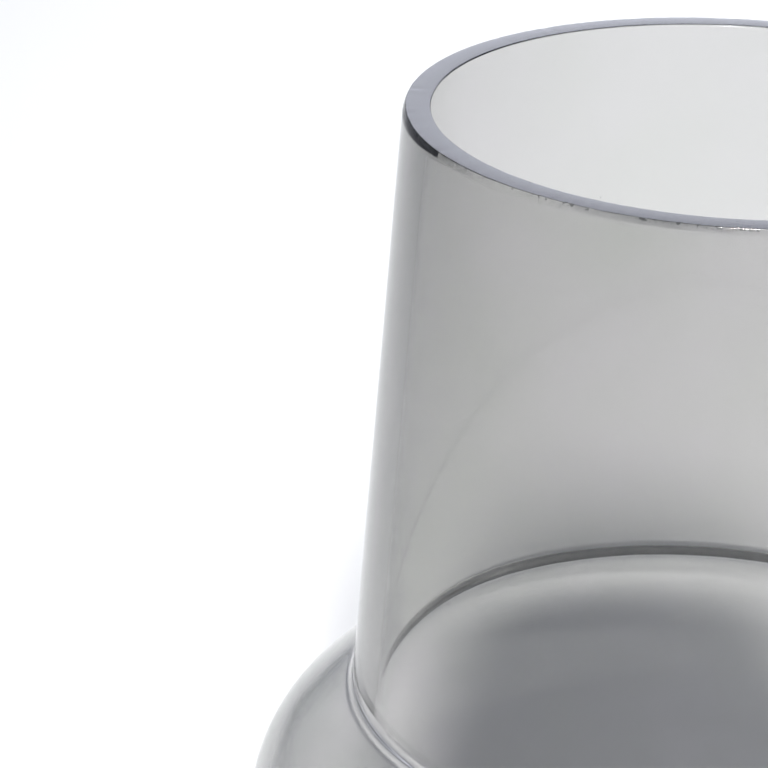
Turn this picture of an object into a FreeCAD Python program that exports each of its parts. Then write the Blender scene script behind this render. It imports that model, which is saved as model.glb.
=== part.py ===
"""Smoked-glass flower vase: a tall, slightly tapered neck on a wider, round-shouldered cylinder body.

The frame is +Z up, with the origin at the middle of the standing ring. All sizes are in millimetres.
The vase is one wall of glass, turned about Z. Each zone of it, from the lip to the base, is a closed solid
of its own that meets the next zone face to face. A section point is (radius, height), and a depth is how
far a point lies under the outer surface, square to the wall.
"""

import math
import os

import FreeCAD
import Part

# ---- driving dimensions ----
HEIGHT = 205.0
NECK_WALL = 4.4
BODY_WALL = 2.6

RIM_RADIUS = 53.0
LIP_HEIGHT = 5.0
OUTER_BEVEL_WIDTH = 0.4
OUTER_BEVEL_HEIGHT = 1.2
INNER_BEVEL = 0.2

NECK_TAPER = math.radians(3.0)
FOOT_ROUND_OUTSIDE = 3.5
FOOT_ROUND_INSIDE = 3.0

BODY_RADIUS = 75.0
BODY_TOP_Z = 79.5
SHOULDER_RADIUS = 24.0
SHOULDER_TURN = math.radians(45.0)
CROWN_RADIUS = 60.0

HEEL_RADIUS = 25.0
BASE_THICKNESS = 8.5
FLOOR_CORNER_RADIUS = 19.0
STANDING_RING_WIDTH = 7.0
PUNT_DEPTH = 2.6

PARTS_FOLDER = "parts"

# ---- directions along the neck's sloping wall and square to it ----
NECK_SLOPE = math.tan(NECK_TAPER)
NECK_DOWN = (math.sin(NECK_TAPER), -math.cos(NECK_TAPER))
NECK_OUTWARD = (math.cos(NECK_TAPER), math.sin(NECK_TAPER))
NECK_SIDE_ANGLE = math.pi + NECK_TAPER

# ---- the base ----
FOOT_RADIUS = BODY_RADIUS - HEEL_RADIUS
PUNT_RADIUS = FOOT_RADIUS - STANDING_RING_WIDTH
BASE_TOP_Z = BASE_THICKNESS + FLOOR_CORNER_RADIUS


def moved(start, direction, distance):
    return (start[0] + distance * direction[0], start[1] + distance * direction[1])


def on_circle(centre, radius, angle):
    """The point of a circle at an angle above the outward direction."""
    return (centre[0] + radius * math.cos(angle), centre[1] + radius * math.sin(angle))


def neck_radius(height, depth):
    """The neck's radius at a height, on its outer surface or at a depth in its wall."""
    return RIM_RADIUS + NECK_SLOPE * (HEIGHT - height) - depth / math.cos(NECK_TAPER)


# ---- the shoulder's tight round, and the flatter crown that carries on from it to the neck ----
SHOULDER_CENTRE = (BODY_RADIUS - SHOULDER_RADIUS, BODY_TOP_Z)
CROWN_CENTRE = on_circle(SHOULDER_CENTRE, SHOULDER_RADIUS - CROWN_RADIUS, SHOULDER_TURN)


def foot_round_centre(neck_depth, crown_radius, foot_round):
    """The centre of the round at the neck's foot, which touches the neck's line and the crown."""
    start = moved((RIM_RADIUS, HEIGHT), NECK_OUTWARD, foot_round - neck_depth)
    dr = start[0] - CROWN_CENTRE[0]
    dz = start[1] - CROWN_CENTRE[1]
    along = dr * NECK_DOWN[0] + dz * NECK_DOWN[1]
    reach = crown_radius + foot_round
    travel = -along - math.sqrt(along**2 - (dr**2 + dz**2 - reach**2))
    return moved(start, NECK_DOWN, travel)


OUTER_FOOT_CENTRE = foot_round_centre(0.0, CROWN_RADIUS, FOOT_ROUND_OUTSIDE)
INNER_FOOT_CENTRE = foot_round_centre(NECK_WALL, CROWN_RADIUS - BODY_WALL, FOOT_ROUND_INSIDE)
OUTER_NECK_END = moved(OUTER_FOOT_CENTRE, NECK_OUTWARD, -FOOT_ROUND_OUTSIDE)
INNER_NECK_END = moved(INNER_FOOT_CENTRE, NECK_OUTWARD, -FOOT_ROUND_INSIDE)


def vector(section_point):
    return FreeCAD.Vector(section_point[0], 0.0, section_point[1])


def straight(*points):
    """The straight edges from each section point to the next."""
    return [Part.LineSegment(vector(a), vector(b)).toShape() for a, b in zip(points, points[1:])]


def arc(centre, radius, first_angle, last_angle):
    """One round edge, from one angle to another."""
    angles = (first_angle, (first_angle + last_angle) / 2, last_angle)
    return Part.Arc(*[vector(on_circle(centre, radius, angle)) for angle in angles]).toShape()


def turned(edges):
    """The solid that a closed section sweeps once round the vase's axis."""
    face = Part.Face(Part.Wire(Part.__sortEdges__(edges)))
    return face.revolve(FreeCAD.Vector(0, 0, 0), FreeCAD.Vector(0, 0, 1), 360)


def lip():
    """The cut mouth: a flat ground rim with a steep, narrow bevel outside and a finer one inside."""
    low = HEIGHT - LIP_HEIGHT
    outer_foot = HEIGHT - OUTER_BEVEL_HEIGHT
    inner_foot = HEIGHT - INNER_BEVEL
    outline = [
        (neck_radius(low, 0.0), low),
        (neck_radius(outer_foot, 0.0), outer_foot),
        (RIM_RADIUS - OUTER_BEVEL_WIDTH, HEIGHT),
        (neck_radius(HEIGHT, NECK_WALL) + INNER_BEVEL, HEIGHT),
        (neck_radius(inner_foot, NECK_WALL), inner_foot),
        (neck_radius(low, NECK_WALL), low),
    ]
    return turned(straight(*outline, outline[0]))


def neck():
    """The straight-sided cone from the lip to the round at the neck's foot."""
    top = HEIGHT - LIP_HEIGHT
    outline = [
        (neck_radius(top, 0.0), top),
        (neck_radius(top, NECK_WALL), top),
        INNER_NECK_END,
        OUTER_NECK_END,
    ]
    return turned(straight(*outline, outline[0]))


def shoulder_arcs(foot_centre, foot_round, depth):
    """One surface of the shoulder: the round at the neck's foot, the crown and the tight round."""
    crown_angle = math.atan2(foot_centre[1] - CROWN_CENTRE[1], foot_centre[0] - CROWN_CENTRE[0])
    return [
        arc(foot_centre, foot_round, NECK_SIDE_ANGLE, crown_angle + math.pi),
        arc(CROWN_CENTRE, CROWN_RADIUS - depth, crown_angle, SHOULDER_TURN),
        arc(SHOULDER_CENTRE, SHOULDER_RADIUS - depth, SHOULDER_TURN, 0.0),
    ]


def shoulder():
    """The neck's foot and the rounded step that carries it out to the body."""
    edges = shoulder_arcs(OUTER_FOOT_CENTRE, FOOT_ROUND_OUTSIDE, 0.0)
    edges += shoulder_arcs(INNER_FOOT_CENTRE, FOOT_ROUND_INSIDE, BODY_WALL)
    edges += straight(OUTER_NECK_END, INNER_NECK_END)
    edges += straight((BODY_RADIUS, BODY_TOP_Z), (BODY_RADIUS - BODY_WALL, BODY_TOP_Z))
    return turned(edges)


def body_wall():
    """The upright cylinder wall between the shoulder and the base."""
    inner = BODY_RADIUS - BODY_WALL
    outline = [
        (BODY_RADIUS, BODY_TOP_Z),
        (BODY_RADIUS, BASE_TOP_Z),
        (inner, BASE_TOP_Z),
        (inner, BODY_TOP_Z),
    ]
    return turned(straight(*outline, outline[0]))


def base():
    """The round heel, the flat ring it stands on, the shallow punt and the thick floor."""
    quarter = math.pi / 2
    inner = BODY_RADIUS - BODY_WALL
    punt_radius_of_curve = (PUNT_RADIUS**2 + PUNT_DEPTH**2) / (2 * PUNT_DEPTH)
    punt_centre = (0.0, PUNT_DEPTH - punt_radius_of_curve)
    punt_edge_angle = math.atan2(-punt_centre[1], PUNT_RADIUS)
    floor_corner = (inner - FLOOR_CORNER_RADIUS, BASE_TOP_Z)
    edges = [
        arc((FOOT_RADIUS, HEEL_RADIUS), HEEL_RADIUS, 0.0, -quarter),
        arc(punt_centre, punt_radius_of_curve, punt_edge_angle, quarter),
        arc(floor_corner, FLOOR_CORNER_RADIUS, -quarter, 0.0),
    ]
    edges += straight((FOOT_RADIUS, 0.0), (PUNT_RADIUS, 0.0))
    edges += straight((0.0, PUNT_DEPTH), (0.0, BASE_THICKNESS), (floor_corner[0], BASE_THICKNESS))
    edges += straight((inner, BASE_TOP_Z), (BODY_RADIUS, BASE_TOP_Z), (BODY_RADIUS, HEEL_RADIUS))
    return turned(edges)


def main():
    os.makedirs(PARTS_FOLDER, exist_ok=True)
    for build in (lip, neck, shoulder, body_wall, base):
        solid = build()
        print(build.__name__, solid.ShapeType, "valid", solid.isValid(), round(solid.Volume), "mm3")
        solid.exportStep(os.path.join(PARTS_FOLDER, build.__name__ + ".step"))


main()
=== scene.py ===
"""Smoked-glass flower vase: the looks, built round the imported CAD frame. Everything is in metres."""
import math
import random

import bpy
import numpy as np
from mathutils import Matrix, Vector


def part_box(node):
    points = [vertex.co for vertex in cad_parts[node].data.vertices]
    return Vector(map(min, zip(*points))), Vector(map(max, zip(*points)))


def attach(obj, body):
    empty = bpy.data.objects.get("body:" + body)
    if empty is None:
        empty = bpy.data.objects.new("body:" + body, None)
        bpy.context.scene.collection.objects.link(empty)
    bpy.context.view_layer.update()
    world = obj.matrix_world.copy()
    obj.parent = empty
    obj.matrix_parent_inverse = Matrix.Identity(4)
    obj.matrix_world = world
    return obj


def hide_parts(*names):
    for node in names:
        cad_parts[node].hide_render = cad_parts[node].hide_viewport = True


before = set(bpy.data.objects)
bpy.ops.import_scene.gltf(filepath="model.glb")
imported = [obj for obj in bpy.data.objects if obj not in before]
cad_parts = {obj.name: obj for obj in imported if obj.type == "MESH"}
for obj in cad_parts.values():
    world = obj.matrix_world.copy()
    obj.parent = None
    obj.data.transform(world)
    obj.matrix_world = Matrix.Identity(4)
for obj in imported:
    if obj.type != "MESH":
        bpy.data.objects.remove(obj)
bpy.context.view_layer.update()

# ---- places from the frame ----
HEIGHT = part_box("lip")[1].z
BODY_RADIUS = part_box("body_wall")[1].x
BODY_TOP_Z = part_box("body_wall")[1].z
BASE_TOP_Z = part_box("body_wall")[0].z

# ---- driving sizes that the CAD boxes don't give ----
RIM_RADIUS = 0.053
NECK_WALL = 0.0044
BODY_WALL = 0.0026
OUTER_BEVEL_WIDTH = 0.0004
OUTER_BEVEL_HEIGHT = 0.0012
INNER_BEVEL = 0.0002
NECK_TAPER = math.radians(3.0)
FOOT_ROUND_OUTSIDE = 0.0035
FOOT_ROUND_INSIDE = 0.003
SHOULDER_RADIUS = 0.024
SHOULDER_TURN = math.radians(45.0)
CROWN_RADIUS = 0.06
HEEL_RADIUS = 0.025
BASE_THICKNESS = 0.0085
FLOOR_CORNER_RADIUS = 0.019
STANDING_RING_WIDTH = 0.007
PUNT_DEPTH = 0.0026

# ---- how real glass differs from the drawing ----
EDGE_ROUND = 0.00012
OUTER_FOOT_ROUND = 0.0004
WAVE_DEPTH = 0.00003
CHIP_DEPTH = 0.00007
CHIPS = 150
SEEDS = 44
SEED_RADIUS = 0.00009
RANDOM_SEED = 5

# ---- how finely the wall is turned ----
SEGMENTS = 512
EDGE_STEPS = 6
SEED_ROWS = 5
SEED_COLUMNS = 8

# ---- where seeds may lie ----
LOWEST_SEED = 0.035
TOP_CLEARANCE = 0.012
SHOULDER_DEPTH = 0.098
PAST_SHOULDER = 0.03

# ---- the glass ----
INDEX_OF_REFRACTION = 1.5
SMOKE_COLOUR = (0.20, 0.20, 0.17, 1)
SMOKE_DENSITY = 112.0
GREENISH = (0.96, 0.965, 0.95, 1)
LAVENDER = (1.0, 0.99, 1.0, 1)
# the dark colour of the painted shade, laid in flecks along the rim's outer edge
PAINTED_EDGE_SHADE = (0.1, 0.1, 0.1, 1)

# ---- the camera, aimed left of the rim's middle and below it, and leaning a little ----
CAMERA_DISTANCE = 11 * RIM_RADIUS
CAMERA_ELEVATION = math.radians(17.97)
CAMERA_LEAN = math.radians(-1.845)
CAMERA_LENS = 172.76
AIM_LEFT = 0.0548
AIM_BELOW_RIM = 0.0499

# ---- the studio ----
FLOOR_HALF_WIDTH = 6.0
KEY_PLACE = (0.5, -4.4, 3.8)
KEY_AIM = (0.74, 0.5, 0.0)
KEY_COLOUR = (1.0, 0.995, 0.985)
KEY_POWER = 2650
BACK_PLACE = (0.3, 2.6, 1.2)
BACK_AIM = (0.0, 0.0, 0.15)
BACK_COLOUR = (0.86, 0.88, 1.0)
BACK_POWER = 18
LOW_SKY = (0.57, 0.6, 0.68, 1)
HIGH_SKY = (0.21, 0.22, 0.24, 1)

NECK_DOWN = (math.sin(NECK_TAPER), -math.cos(NECK_TAPER))
NECK_OUTWARD = (math.cos(NECK_TAPER), math.sin(NECK_TAPER))
QUARTER = math.pi / 2


def moved(start, direction, distance):
    """A section point carried along a direction."""
    return (start[0] + distance * direction[0], start[1] + distance * direction[1])


def on_circle(centre, radius, angle):
    """The point of a circle at an angle above the outward direction."""
    return (centre[0] + radius * math.cos(angle), centre[1] + radius * math.sin(angle))


def neck_point(height, depth):
    """A point of the section on the neck's outer surface, or at a depth in its wall."""
    radius = RIM_RADIUS + math.tan(NECK_TAPER) * (HEIGHT - height) - depth / math.cos(NECK_TAPER)
    return (radius, height)


def arc(centre, radius, first, last, count):
    return [on_circle(centre, radius, angle) for angle in np.linspace(first, last, count)]


def line(start, end, count):
    return [tuple(point) for point in np.linspace(start, end, count)]


SHOULDER_CENTRE = (BODY_RADIUS - SHOULDER_RADIUS, BODY_TOP_Z)
CROWN_CENTRE = on_circle(SHOULDER_CENTRE, SHOULDER_RADIUS - CROWN_RADIUS, SHOULDER_TURN)


def shoulder_line(neck_depth, body_depth, foot_round, start):
    """One surface of the wall, from a point of the neck down over the shoulder to the body's top."""
    crown = CROWN_RADIUS - body_depth
    centre = moved((RIM_RADIUS, HEIGHT), NECK_OUTWARD, foot_round - neck_depth)
    dr, dz = centre[0] - CROWN_CENTRE[0], centre[1] - CROWN_CENTRE[1]
    along = dr * NECK_DOWN[0] + dz * NECK_DOWN[1]
    reach = crown + foot_round
    travel = -along - math.sqrt(along**2 - (dr**2 + dz**2 - reach**2))
    centre = moved(centre, NECK_DOWN, travel)
    turn = math.atan2(centre[1] - CROWN_CENTRE[1], centre[0] - CROWN_CENTRE[0])
    points = line(start, moved(centre, NECK_OUTWARD, -foot_round), 22)
    points += arc(centre, foot_round, math.pi + NECK_TAPER, turn + math.pi, 12)[1:]
    points += arc(CROWN_CENTRE, crown, turn, SHOULDER_TURN, 9)[1:]
    points += arc(SHOULDER_CENTRE, SHOULDER_RADIUS - body_depth, SHOULDER_TURN, 0.0, 14)[1:]
    return points


def softened(points, rounds):
    """A line of points whose corners are each turned into a small round, with one reach per corner."""
    soft = [points[0]]
    for before, corner, after, reach in zip(points, points[1:], points[2:], rounds):
        c, a, b = Vector(corner), Vector(before), Vector(after)
        first = c + (a - c).normalized() * reach
        last = c + (b - c).normalized() * reach
        for t in np.linspace(0, 1, EDGE_STEPS):
            soft.append(tuple(first * (1 - t) ** 2 + c * 2 * t * (1 - t) + last * t**2))
    soft.append(points[-1])
    return soft


def rim_line():
    """The cut rim from just below the inner bevel, over the flat, to just below the outer bevel."""
    inner_foot = neck_point(HEIGHT - INNER_BEVEL, NECK_WALL)
    inner_top = (neck_point(HEIGHT, NECK_WALL)[0] + INNER_BEVEL, HEIGHT)
    outer_top = (RIM_RADIUS - OUTER_BEVEL_WIDTH, HEIGHT)
    outer_foot = neck_point(HEIGHT - OUTER_BEVEL_HEIGHT, 0.0)
    below = 0.0018
    corners = [
        neck_point(HEIGHT - below, NECK_WALL), inner_foot, inner_top,
        outer_top, outer_foot, neck_point(HEIGHT - below, 0.0),
    ]
    rounds = [EDGE_ROUND, EDGE_ROUND, EDGE_ROUND, OUTER_FOOT_ROUND]
    return softened(corners, rounds)


def base_lines():
    """The inside of the base from its middle outward, and the outside from the body to the punt."""
    inner = BODY_RADIUS - BODY_WALL
    corner = (inner - FLOOR_CORNER_RADIUS, BASE_TOP_Z)
    foot = BODY_RADIUS - HEEL_RADIUS
    punt = foot - STANDING_RING_WIDTH
    curve = (punt**2 + PUNT_DEPTH**2) / (2 * PUNT_DEPTH)
    inside = line((0.0, BASE_THICKNESS), (corner[0], BASE_THICKNESS), 6)[:-1]
    inside += arc(corner, FLOOR_CORNER_RADIUS, -QUARTER, 0.0, 16)
    inside += line(inside[-1], (inner, BODY_TOP_Z), 7)[1:]
    outside = line((BODY_RADIUS, BODY_TOP_Z), (BODY_RADIUS, HEEL_RADIUS), 7)[1:]
    outside += arc((foot, HEEL_RADIUS), HEEL_RADIUS, 0.0, -QUARTER, 18)[1:]
    outside += arc((0.0, PUNT_DEPTH - curve), curve, math.atan2(curve - PUNT_DEPTH, punt), QUARTER, 8)
    outside[-1] = (0.0, PUNT_DEPTH)
    return inside, outside


def wall_section():
    """The whole section of the wall, from the middle of the floor, up inside, over the rim and down."""
    inside, outside = base_lines()
    rim = rim_line()
    up = shoulder_line(NECK_WALL, BODY_WALL, FOOT_ROUND_INSIDE, rim[0])
    down = shoulder_line(0.0, 0.0, FOOT_ROUND_OUTSIDE, rim[-1])
    return inside + up[-2::-1] + rim[1:-1] + down + outside


def waves(rng, radius, height, angle):
    """A gentle unevenness of blown glass, in metres, smooth all the way round."""
    total = np.zeros(np.broadcast(radius, angle).shape)
    for _ in range(9):
        lobes = rng.randint(2, 11)
        total += math.cos(rng.uniform(0, 6)) * np.cos(
            lobes * angle + rng.uniform(-90, 90) * height + rng.uniform(-60, 60) * radius + rng.uniform(0, 6)
        )
    return total * WAVE_DEPTH / 2


def chip_rim(rng, radius, height):
    """Tiny chips along the flat rim's outer edge, left by the grinding wheel."""
    edge = height[:, 0] > HEIGHT - 2 * EDGE_ROUND
    edge &= np.abs(radius[:, 0] - (RIM_RADIUS - OUTER_BEVEL_WIDTH)) < 2 * EDGE_ROUND
    for _ in range(CHIPS):
        column = rng.randrange(radius.shape[1])
        depth = CHIP_DEPTH * rng.uniform(0.2, 1.0)
        radius[edge, column] -= depth
        height[edge, column] -= 0.5 * depth


def turned_shell(rng, points):
    """Vertices and faces of the section turned about Z, outward-facing, with its two ends on the axis."""
    angle = np.arange(SEGMENTS) * 2 * math.pi / SEGMENTS
    rings = np.array(points[1:-1])
    radius = np.repeat(rings[:, :1], SEGMENTS, 1)
    height = np.repeat(rings[:, 1:], SEGMENTS, 1)
    ease = np.clip((HEIGHT - height) / 0.01, 0, 1) * np.clip((height - 0.03) / 0.01, 0, 1)
    radius += ease * waves(rng, rings[:, :1], rings[:, 1:], angle)
    chip_rim(rng, radius, height)
    verts = np.stack([radius * np.cos(angle), radius * np.sin(angle), height], -1).reshape(-1, 3).tolist()
    first = len(verts)
    verts += [(0, 0, points[0][1]), (0, 0, points[-1][1])]
    faces = []
    for ring in range(len(rings) - 1):
        for i in range(SEGMENTS):
            a = ring * SEGMENTS + i
            b = ring * SEGMENTS + (i + 1) % SEGMENTS
            faces.append((a, a + SEGMENTS, b + SEGMENTS, b))
    last = (len(rings) - 1) * SEGMENTS
    for i in range(SEGMENTS):
        j = (i + 1) % SEGMENTS
        faces.append((first, i, j))
        faces.append((first + 1, last + j, last + i))
    return verts, faces


def seed_shell(centre, size, stretch, start):
    """A small stretched bubble, facing inward because it is a hole in the glass."""
    rows, columns = SEED_ROWS, SEED_COLUMNS
    verts = [(centre[0], centre[1], centre[2] + size * stretch)]
    for row in range(1, rows):
        polar = math.pi * row / rows
        for column in range(columns):
            turn = 2 * math.pi * column / columns
            x = centre[0] + size * math.sin(polar) * math.cos(turn)
            y = centre[1] + size * math.sin(polar) * math.sin(turn)
            verts.append((x, y, centre[2] + size * stretch * math.cos(polar)))
    verts.append((centre[0], centre[1], centre[2] - size * stretch))
    bottom = start + len(verts) - 1
    faces = []
    for column in range(columns):
        after = (column + 1) % columns
        faces.append((start, start + 1 + after, start + 1 + column))
        low = start + 1 + (rows - 2) * columns
        faces.append((bottom, low + column, low + after))
        for row in range(rows - 2):
            a = start + 1 + row * columns
            faces.append((a + column, a + after, a + columns + after, a + columns + column))
    return verts, faces


def add_seeds(rng, verts, faces):
    """The few tiny bubbles that glassmakers call seeds, in the middle of the neck's and body's wall."""
    for _ in range(SEEDS):
        height = rng.uniform(LOWEST_SEED, HEIGHT - TOP_CLEARANCE)
        if BODY_TOP_Z < height < HEIGHT - SHOULDER_DEPTH:
            height += PAST_SHOULDER
        if height > BODY_TOP_Z:
            radius = neck_point(height, NECK_WALL * rng.uniform(0.3, 0.7))[0]
        else:
            radius = BODY_RADIUS - BODY_WALL * rng.uniform(0.35, 0.65)
        turn = rng.uniform(0, 2 * math.pi)
        centre = (radius * math.cos(turn), radius * math.sin(turn), height)
        more_verts, more_faces = seed_shell(
            centre, SEED_RADIUS * rng.uniform(0.6, 1.5), rng.uniform(1.0, 1.8), len(verts)
        )
        verts += more_verts
        faces += more_faces


def glass_vessel():
    """The whole vase as one closed mesh, because the real glass has no seams."""
    rng = random.Random(RANDOM_SEED)
    verts, faces = turned_shell(rng, wall_section())
    add_seeds(rng, verts, faces)
    mesh = bpy.data.meshes.new("glass_vessel")
    mesh.from_pydata(verts, [], faces)
    mesh.update()
    mesh.polygons.foreach_set("use_smooth", [True] * len(mesh.polygons))
    vessel = bpy.data.objects.new("glass_vessel", mesh)
    bpy.context.scene.collection.objects.link(vessel)
    mesh.materials.append(smoked_glass())
    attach(vessel, "root")
    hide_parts("lip", "neck", "shoulder", "body_wall", "base")


class Nodes:
    """Short ways to build a node tree."""

    def __init__(self, tree):
        self.tree = tree

    def add(self, kind, **settings):
        node = self.tree.nodes.new(kind)
        for name, value in settings.items():
            setattr(node, name, value)
        return node

    def link(self, output, socket):
        self.tree.links.new(output, socket)

    def noise(self, vector, scale, detail):
        node = self.add("ShaderNodeTexNoise")
        node.inputs["Scale"].default_value = scale
        node.inputs["Detail"].default_value = detail
        self.link(vector, node.inputs["Vector"])
        return node.outputs["Fac"]

    def remap(self, value, low, high, to_low, to_high):
        node = self.add("ShaderNodeMapRange")
        for name, number in (("From Min", low), ("From Max", high), ("To Min", to_low), ("To Max", to_high)):
            node.inputs[name].default_value = number
        self.link(value, node.inputs["Value"])
        return node.outputs["Result"]

    def blend(self, factor, first, second):
        """A mix of two colours, each a plain value or another node's output."""
        node = self.add("ShaderNodeMixRGB")
        for name, colour in (("Color1", first), ("Color2", second)):
            if isinstance(colour, tuple):
                node.inputs[name].default_value = colour
            else:
                self.link(colour, node.inputs[name])
        self.link(factor, node.inputs["Fac"])
        return node.outputs["Color"]

    def maths(self, operation, first, second):
        node = self.add("ShaderNodeMath", operation=operation)
        for socket, value in zip(node.inputs, (first, second)):
            if isinstance(value, (int, float)):
                socket.default_value = value
            else:
                self.link(value, socket)
        return node.outputs["Value"]


def smoked_glass():
    """Grey-tinted glass: polished walls with faint smears, a finely ground rim, and painted shade in dark
    flecks along the rim's outer edge.
    """
    material = bpy.data.materials.new("smoked_glass")
    material.use_nodes = True
    nodes = Nodes(material.node_tree)
    shader = material.node_tree.nodes["Principled BSDF"]
    shader.inputs["IOR"].default_value = INDEX_OF_REFRACTION
    shader.inputs["Transmission Weight"].default_value = 1.0
    place = nodes.add("ShaderNodeTexCoord").outputs["Object"]
    split = nodes.add("ShaderNodeSeparateXYZ")
    nodes.link(place, split.inputs["Vector"])

    smear = nodes.noise(place, 34.0, 5.0)
    tint = nodes.remap(smear, 0.36, 0.64, 0.0, 1.0)
    clean = nodes.blend(tint, GREENISH, LAVENDER)
    across = nodes.add("ShaderNodeVectorMath", operation="MULTIPLY")
    across.inputs[1].default_value = (1, 1, 0)
    nodes.link(place, across.inputs[0])
    radius = nodes.add("ShaderNodeVectorMath", operation="LENGTH")
    nodes.link(across.outputs["Vector"], radius.inputs[0])
    # Painted shade: dark flecks of base colour along the rim's outer edge stand in for the dark line that
    # light draws there
    edge_radius = RIM_RADIUS - OUTER_BEVEL_WIDTH
    outside = nodes.remap(radius.outputs["Value"], edge_radius - 0.0002, edge_radius - 0.0001, 0.0, 1.0)
    top = nodes.remap(split.outputs["Z"], HEIGHT - 0.0005, HEIGHT - 0.0003, 0.0, 1.0)
    fleck = nodes.remap(nodes.noise(place, 1300.0, 1.0), 0.56, 0.64, 0.0, 0.75)
    painted_edge_shade = nodes.maths("MULTIPLY", nodes.maths("MULTIPLY", outside, top), fleck)
    nodes.link(nodes.blend(painted_edge_shade, clean, PAINTED_EDGE_SHADE), shader.inputs["Base Color"])

    ground = nodes.remap(split.outputs["Z"], HEIGHT - 0.0011, HEIGHT - 0.0007, 0.0, 1.0)
    grain = nodes.remap(nodes.noise(place, 900.0, 2.0), 0.3, 0.7, 0.07, 0.12)
    polish = nodes.remap(smear, 0.45, 0.75, 0.0, 0.02)
    rough = nodes.maths("ADD", nodes.maths("MULTIPLY", ground, grain), polish)
    nodes.link(rough, shader.inputs["Roughness"])

    absorb = nodes.add("ShaderNodeVolumeAbsorption")
    absorb.inputs["Color"].default_value = SMOKE_COLOUR
    absorb.inputs["Density"].default_value = SMOKE_DENSITY
    nodes.link(absorb.outputs["Volume"], material.node_tree.nodes["Material Output"].inputs["Volume"])
    return material


def make_camera():
    rim_centre = Vector((0, 0, HEIGHT))
    back_up = Vector((0, -math.cos(CAMERA_ELEVATION), math.sin(CAMERA_ELEVATION)))
    eye = rim_centre + CAMERA_DISTANCE * back_up
    aim = Vector((-AIM_LEFT, 0, HEIGHT - AIM_BELOW_RIM))
    forward = (aim - eye).normalized()
    right = forward.cross(Vector((0, 0, 1))).normalized()
    right = Matrix.Rotation(CAMERA_LEAN, 3, forward) @ right
    up = right.cross(forward)
    camera = bpy.data.objects.new("camera", bpy.data.cameras.new("camera"))
    camera.data.sensor_width = 36
    camera.data.lens = CAMERA_LENS
    camera.data.clip_start = 0.01
    camera.data.clip_end = 50
    camera.matrix_world = Matrix.Translation(eye) @ Matrix((right, up, -forward)).transposed().to_4x4()
    bpy.context.scene.collection.objects.link(camera)
    bpy.context.scene.camera = camera


def make_floor():
    """A plain pale floor."""
    mesh = bpy.data.meshes.new("floor")
    s = FLOOR_HALF_WIDTH
    mesh.from_pydata([(-s, -s, 0), (s, -s, 0), (s, s, 0), (-s, s, 0)], [], [(0, 1, 2, 3)])
    floor = bpy.data.objects.new("floor", mesh)
    bpy.context.scene.collection.objects.link(floor)
    material = bpy.data.materials.new("floor")
    material.use_nodes = True
    shader = material.node_tree.nodes["Principled BSDF"]
    shader.inputs["Base Color"].default_value = (0.9, 0.9, 0.9, 1)
    shader.inputs["Roughness"].default_value = 0.8
    shader.inputs["Specular IOR Level"].default_value = 0.2
    mesh.materials.append(material)


def add_lamp(name, kind, place, aim, colour, energy):
    """A lamp at a place, turned to face its aim."""
    data = bpy.data.lights.new(name, kind)
    data.color = colour
    data.energy = energy
    lamp = bpy.data.objects.new(name, data)
    lamp.location = place
    lamp.rotation_euler = (Vector(aim) - Vector(place)).to_track_quat("-Z", "Y").to_euler()
    bpy.context.scene.collection.objects.link(lamp)
    return data


def make_sky():
    """A bright, slightly cool surround that dims overhead and to the left."""
    world = bpy.data.worlds.new("studio")
    bpy.context.scene.world = world
    world.use_nodes = True
    nodes = Nodes(world.node_tree)
    split = nodes.add("ShaderNodeSeparateXYZ")
    nodes.link(nodes.add("ShaderNodeTexCoord").outputs["Generated"], split.inputs["Vector"])
    rise = nodes.remap(split.outputs["Z"], 0.35, 0.8, 0.0, 1.0)
    side = nodes.remap(split.outputs["X"], -0.6, 0.1, 0.6, 1.0)
    background = world.node_tree.nodes["Background"]
    nodes.link(nodes.blend(rise, LOW_SKY, HIGH_SKY), background.inputs["Color"])
    nodes.link(side, background.inputs["Strength"])


def make_light():
    """A key pool from the front that fades to the left behind the vase, and a soft lamp from the back."""
    make_sky()
    key = add_lamp("key", "SPOT", KEY_PLACE, KEY_AIM, KEY_COLOUR, KEY_POWER)
    key.spot_size = math.radians(26)
    key.spot_blend = 0.5
    key.shadow_soft_size = 0.6
    back = add_lamp("back", "AREA", BACK_PLACE, BACK_AIM, BACK_COLOUR, BACK_POWER)
    back.shape = "RECTANGLE"
    back.size = 2.4
    back.size_y = 1.4


scene = bpy.context.scene
scene.view_settings.view_transform = "Standard"
scene.cycles.max_bounces = 24
scene.cycles.transmission_bounces = 24
scene.cycles.glossy_bounces = 12

make_camera()
make_floor()
make_light()
glass_vessel()
